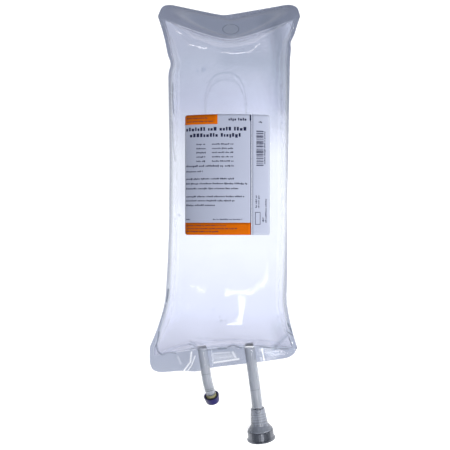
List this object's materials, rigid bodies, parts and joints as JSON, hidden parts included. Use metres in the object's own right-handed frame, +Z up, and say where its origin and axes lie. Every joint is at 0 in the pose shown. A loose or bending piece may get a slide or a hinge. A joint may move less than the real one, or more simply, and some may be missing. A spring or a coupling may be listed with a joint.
{
  "type": "infusion fluid bag",
  "caption": "Filled clear film infusion bag lying on its back, with a welded hanger hole, a two-part label, an injection port and a crimp-capped infusion port.",
  "frame": {"origin": "middle of the flat patch that the filled bag rests on", "axes": "+Z up out of the label side, +Y along the bag towards the hanger end, +X across it"},
  "size_m": [0.1357, 0.3963, 0.0475],
  "materials": {
    "clear_film": "clear gloss film",
    "clear_fluid": "clear",
    "label": "satin print film, grey-lilac with orange fields",
    "label_strip": "satin print film",
    "soft_tube": "translucent gloss",
    "clear_rigid": "clear gloss",
    "yellow_rubber": "matte",
    "grey_rubber": "matte",
    "violet_cap": "moulded gloss",
    "aluminium": "pressed satin"
  },
  "bodies": {
    "root": {"back_film": "clear_film", "front_film": "clear_film", "fluid": "clear_fluid", "label_main": "label", "label_strip": "label_strip", "injection_port_tube": "soft_tube", "injection_port_insert": "clear_rigid", "injection_septum": "yellow_rubber", "injection_port_cap": "violet_cap", "infusion_port_tube": "soft_tube", "infusion_port_neck": "clear_rigid", "infusion_stopper": "grey_rubber", "infusion_crimp_cap": "aluminium"}
  },
  "joints": []
}
